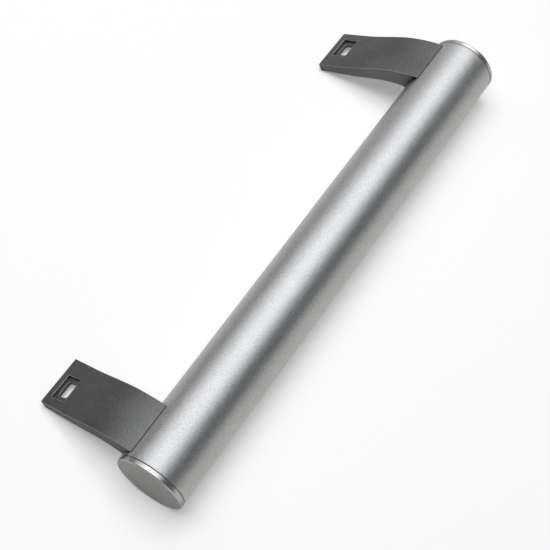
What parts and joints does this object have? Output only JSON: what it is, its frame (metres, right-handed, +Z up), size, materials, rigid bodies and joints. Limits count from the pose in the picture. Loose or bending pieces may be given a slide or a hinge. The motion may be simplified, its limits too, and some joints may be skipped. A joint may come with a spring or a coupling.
{
  "type": "appliance door handle",
  "caption": "Tubular door handle: a round satin metal grip on two flat curved side arms with slotted, pocketed fixing pads and flush end caps.",
  "frame": {"origin": "on the table, under the middle of the bounding box, with the handle lying on the tube's underside and the edges of both arm tips", "axes": "+X along the grip tube, +Y from the tube towards the arm tips, +Z up from the table"},
  "size_m": [0.286, 0.087, 0.035],
  "materials": {
    "satin_tube": "fine bead-blasted and anodised satin",
    "dark_arm": "dark grey metallic paint, fine grain",
    "silver_cap": "smooth silver paint",
    "screw_steel": "zinc plated"
  },
  "bodies": {
    "root": {"grip_tube": "satin_tube", "left_arm": "dark_arm", "right_arm": "dark_arm", "left_end_cap": "silver_cap", "right_end_cap": "silver_cap", "left_upper_screw": "screw_steel", "left_lower_screw": "screw_steel", "right_upper_screw": "screw_steel", "right_lower_screw": "screw_steel"}
  },
  "joints": []
}
